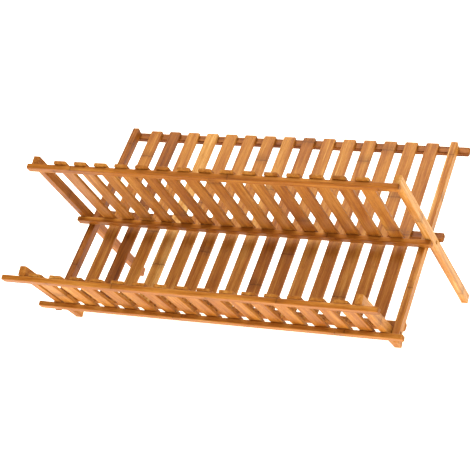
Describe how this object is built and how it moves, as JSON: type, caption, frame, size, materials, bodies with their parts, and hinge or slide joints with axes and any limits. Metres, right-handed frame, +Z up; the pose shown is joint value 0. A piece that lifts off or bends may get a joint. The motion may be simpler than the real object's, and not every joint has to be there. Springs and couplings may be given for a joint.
{
  "type": "dish drying rack",
  "caption": "Folding two-tier slatted bamboo dish drying rack: a long frame crossed by a hinged upper leaf with back legs and a short hinged lower leaf.",
  "frame": {"origin": "on the floor, midway along the rack and midway between its front and back edges", "axes": "+X along the rack to its right end, +Y to the back feet, +Z up"},
  "size_m": [0.556, 0.4014, 0.2489],
  "materials": {
    "bamboo_slat": "satin",
    "bamboo_frame": "satin",
    "bamboo_dowel": "matt end grain"
  },
  "bodies": {
    "long_frame": {"long_frame_bottom_rail": "bamboo_frame", "long_frame_mid_rail": "bamboo_frame", "long_frame_slat_01": "bamboo_slat", "long_frame_slat_02": "bamboo_slat", "long_frame_slat_03": "bamboo_slat", "long_frame_slat_04": "bamboo_slat", "long_frame_slat_05": "bamboo_slat", "long_frame_slat_06": "bamboo_slat", "long_frame_slat_07": "bamboo_slat", "long_frame_slat_08": "bamboo_slat", "long_frame_slat_09": "bamboo_slat", "long_frame_slat_10": "bamboo_slat", "long_frame_slat_11": "bamboo_slat", "long_frame_slat_12": "bamboo_slat", "long_frame_slat_13": "bamboo_slat", "long_frame_slat_14": "bamboo_slat", "long_frame_slat_15": "bamboo_slat", "long_frame_stile_left": "bamboo_frame", "long_frame_stile_right": "bamboo_frame", "long_frame_top_rail": "bamboo_frame", "main_hinge_dowel_left": "bamboo_dowel", "main_hinge_dowel_right": "bamboo_dowel"},
    "upper_leaf": {"upper_leaf_leg_left": "bamboo_frame", "upper_leaf_leg_right": "bamboo_frame", "upper_leaf_mid_rail": "bamboo_frame", "upper_leaf_slat_01": "bamboo_slat", "upper_leaf_slat_02": "bamboo_slat", "upper_leaf_slat_03": "bamboo_slat", "upper_leaf_slat_04": "bamboo_slat", "upper_leaf_slat_05": "bamboo_slat", "upper_leaf_slat_06": "bamboo_slat", "upper_leaf_slat_07": "bamboo_slat", "upper_leaf_slat_08": "bamboo_slat", "upper_leaf_slat_09": "bamboo_slat", "upper_leaf_slat_10": "bamboo_slat", "upper_leaf_slat_11": "bamboo_slat", "upper_leaf_slat_12": "bamboo_slat", "upper_leaf_slat_13": "bamboo_slat", "upper_leaf_slat_14": "bamboo_slat", "upper_leaf_slat_15": "bamboo_slat", "upper_leaf_top_rail": "bamboo_frame"},
    "lower_leaf": {"lower_leaf_bottom_rail": "bamboo_frame", "lower_leaf_slat_01": "bamboo_slat", "lower_leaf_slat_02": "bamboo_slat", "lower_leaf_slat_03": "bamboo_slat", "lower_leaf_slat_04": "bamboo_slat", "lower_leaf_slat_05": "bamboo_slat", "lower_leaf_slat_06": "bamboo_slat", "lower_leaf_slat_07": "bamboo_slat", "lower_leaf_slat_08": "bamboo_slat", "lower_leaf_slat_09": "bamboo_slat", "lower_leaf_slat_10": "bamboo_slat", "lower_leaf_slat_11": "bamboo_slat", "lower_leaf_slat_12": "bamboo_slat", "lower_leaf_slat_13": "bamboo_slat", "lower_leaf_slat_14": "bamboo_slat", "lower_leaf_slat_15": "bamboo_slat", "lower_leaf_stile_left": "bamboo_frame", "lower_leaf_stile_right": "bamboo_frame", "lower_leaf_top_rail": "bamboo_frame"}
  },
  "joints": [
    {"name": "upper_leaf_fold", "type": "hinge", "parent": "long_frame", "child": "upper_leaf", "pos_m": [0, 0.04275, 0.12691], "axis": [-1, 0, 0], "range_deg": [0, 103]},
    {"name": "lower_leaf_fold", "type": "hinge", "parent": "long_frame", "child": "lower_leaf", "pos_m": [0, -0.081, 0.03127], "axis": [-1, 0, 0], "range_deg": [0, 108]}
  ]
}
